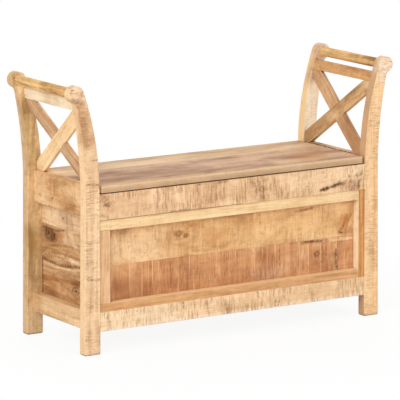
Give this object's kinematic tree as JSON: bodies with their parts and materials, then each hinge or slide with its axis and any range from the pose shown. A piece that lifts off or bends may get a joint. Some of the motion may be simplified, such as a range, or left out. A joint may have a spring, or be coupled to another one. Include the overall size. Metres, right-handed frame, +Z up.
{
  "type": "hall bench",
  "caption": "Rough-sawn wooden hall bench with curved scroll-topped posts, crossed arm braces, a framed front panel and a hinged seat lid over a storage box.",
  "frame": {"origin": "middle of the footprint, on the floor", "axes": "+X along the bench to the right as seen from the front, +Y to the back, +Z up"},
  "size_m": [1.03, 0.33, 0.7199],
  "materials": {
    "wood_frame": "rough sawn, waxed",
    "wood_panel": "rough sawn, waxed",
    "wood_lid": "planed, waxed",
    "wood_inside": "sawn, bare",
    "hinge_brass": "dull",
    "screw_steel": "zinc plated"
  },
  "bodies": {
    "frame": {"arm_bar_left": "wood_frame", "arm_bar_right": "wood_frame", "arm_rail_left": "wood_frame", "arm_rail_right": "wood_frame", "bearer_back": "wood_inside", "bearer_front": "wood_inside", "brace_falling_left": "wood_frame", "brace_falling_right": "wood_frame", "brace_rising_left": "wood_frame", "brace_rising_right": "wood_frame", "floor_back": "wood_inside", "floor_front": "wood_inside", "floor_middle": "wood_inside", "hinge_frame_leaf_left": "hinge_brass", "hinge_frame_leaf_right": "hinge_brass", "hinge_pin_left": "hinge_brass", "hinge_pin_right": "hinge_brass", "panel_back_lower": "wood_panel", "panel_back_upper": "wood_panel", "panel_front_lower": "wood_panel", "panel_front_upper": "wood_panel", "panel_left_lower": "wood_panel", "panel_left_middle": "wood_panel", "panel_left_upper": "wood_panel", "panel_right_lower": "wood_panel", "panel_right_middle": "wood_panel", "panel_right_upper": "wood_panel", "post_front_left": "wood_frame", "post_front_right": "wood_frame", "post_rear_left": "wood_frame", "post_rear_right": "wood_frame", "rail_back_low": "wood_frame", "rail_back_top": "wood_frame", "rail_front_low": "wood_frame", "rail_front_top": "wood_frame", "rail_low_end_left": "wood_frame", "rail_low_end_right": "wood_frame", "rail_seat_end_left": "wood_frame", "rail_seat_end_right": "wood_frame", "screws_bearer": "screw_steel", "screws_hinge_frame": "screw_steel", "strip_left": "wood_panel", "strip_low": "wood_panel", "strip_right": "wood_panel", "strip_top": "wood_panel"},
    "lid": {"hinge_lid_leaf_left": "hinge_brass", "hinge_lid_leaf_right": "hinge_brass", "lid_batten_left": "wood_inside", "lid_batten_right": "wood_inside", "lid_board_back": "wood_lid", "lid_board_front": "wood_lid", "lid_board_middle": "wood_lid", "screws_batten": "screw_steel", "screws_hinge_lid": "screw_steel"}
  },
  "joints": [
    {"name": "lid_hinge", "type": "hinge", "parent": "frame", "child": "lid", "pos_m": [0, 0.154, 0.42925], "axis": [-1, 0, 0], "range_deg": [0, 105]}
  ]
}
